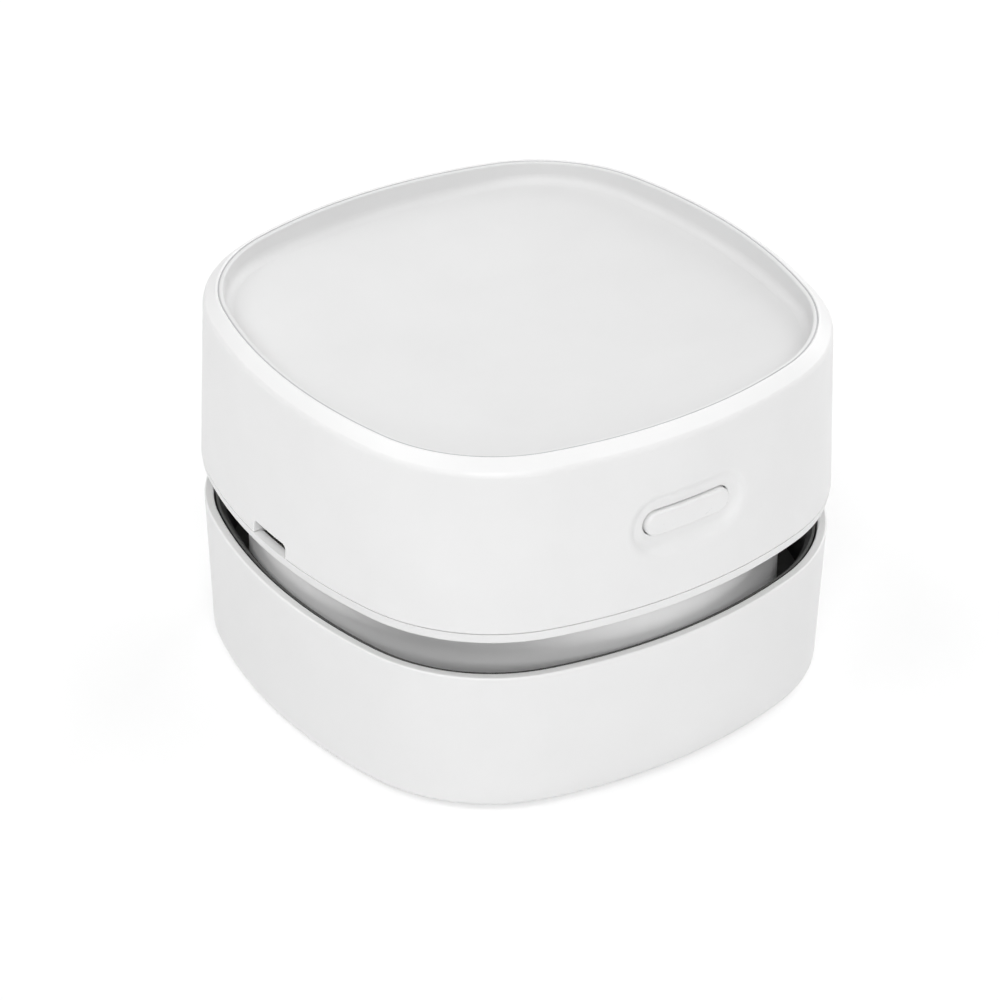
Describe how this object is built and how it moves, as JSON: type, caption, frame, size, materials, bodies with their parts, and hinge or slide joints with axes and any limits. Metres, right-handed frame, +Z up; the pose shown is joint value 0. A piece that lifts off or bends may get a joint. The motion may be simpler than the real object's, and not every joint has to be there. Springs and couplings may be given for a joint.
{
  "type": "desktop mini vacuum cleaner",
  "caption": "Rounded-square white desk vacuum with a dished top tray, a push button, a recessed round collar and a lift-off dust bin under a spinning fan.",
  "frame": {"origin": "centre of the footprint, on the table under the glide pads", "axes": "+Z up along the fan's axis, power button facing -Y, charging socket facing -X"},
  "size_m": [0.09, 0.09, 0.0605],
  "materials": {
    "white_case": "satin",
    "white_tray": "satin",
    "white_button": "satin gloss",
    "grey_collar": "satin",
    "dark_plastic": "fine texture",
    "fan_plastic": "moulded",
    "soft_rubber": "silicone",
    "bristle": "nylon",
    "filter_cloth": "fine woven mesh",
    "screw_steel": "zinc plated",
    "motor_steel": "drawn",
    "magnet": "ferrite",
    "bronze": "plain",
    "socket_steel": "plated",
    "socket_tongue": "moulded",
    "board_green": "solder resist",
    "component_black": "moulded",
    "plunger_grey": "moulded",
    "cell_wrap": "shrink wrap"
  },
  "bodies": {
    "bin": {"dust_bin": "white_case", "nozzle_plate": "dark_plastic", "inlet_funnel": "dark_plastic", "brush_ring": "bristle", "glide_pads": "soft_rubber", "nozzle_screws": "screw_steel"},
    "lid": {"bin_lid": "dark_plastic", "lid_seal": "soft_rubber", "filter_frame": "dark_plastic", "filter_mesh": "filter_cloth"},
    "head": {"upper_shell": "white_case", "top_tray": "white_tray", "upper_base": "white_case", "neck_collar": "grey_collar", "inlet_plate": "dark_plastic", "inlet_screws": "screw_steel", "fan_diffuser": "dark_plastic", "case_screws": "screw_steel", "motor_can": "motor_steel", "motor_magnets": "magnet", "motor_endcap": "dark_plastic", "motor_terminals": "bronze", "motor_screws": "screw_steel", "front_bearing": "bronze", "rear_bearing": "bronze", "main_board": "board_green", "board_components": "component_black", "board_screws": "screw_steel", "usb_socket": "socket_steel", "usb_tongue": "socket_tongue", "battery_cell": "cell_wrap", "battery_holder": "dark_plastic", "battery_contacts": "socket_steel", "switch_board": "board_green", "switch_body": "component_black"},
    "button": {"power_button": "white_button", "switch_plunger": "plunger_grey"},
    "fan": {"fan_impeller": "fan_plastic", "motor_shaft": "screw_steel", "motor_rotor": "motor_steel", "commutator": "bronze"}
  },
  "joints": [
    {"name": "bin_lift", "type": "slide", "parent": "bin", "child": "lid", "axis": [0, 0, 1], "range_m": [0, 0.03]},
    {"name": "head_twist", "type": "hinge", "parent": "lid", "child": "head", "pos_m": [0, 0, 0], "axis": [0, 0, 1], "range_deg": [0, 20]},
    {"name": "button_press", "type": "slide", "parent": "head", "child": "button", "axis": [0, 1, 0], "range_m": [0, 0.0008], "stiffness_N_per_m": 1500},
    {"name": "fan_spin", "type": "hinge", "parent": "head", "child": "fan", "pos_m": [0, 0, 0], "axis": [0, 0, 1], "continuous": true}
  ]
}
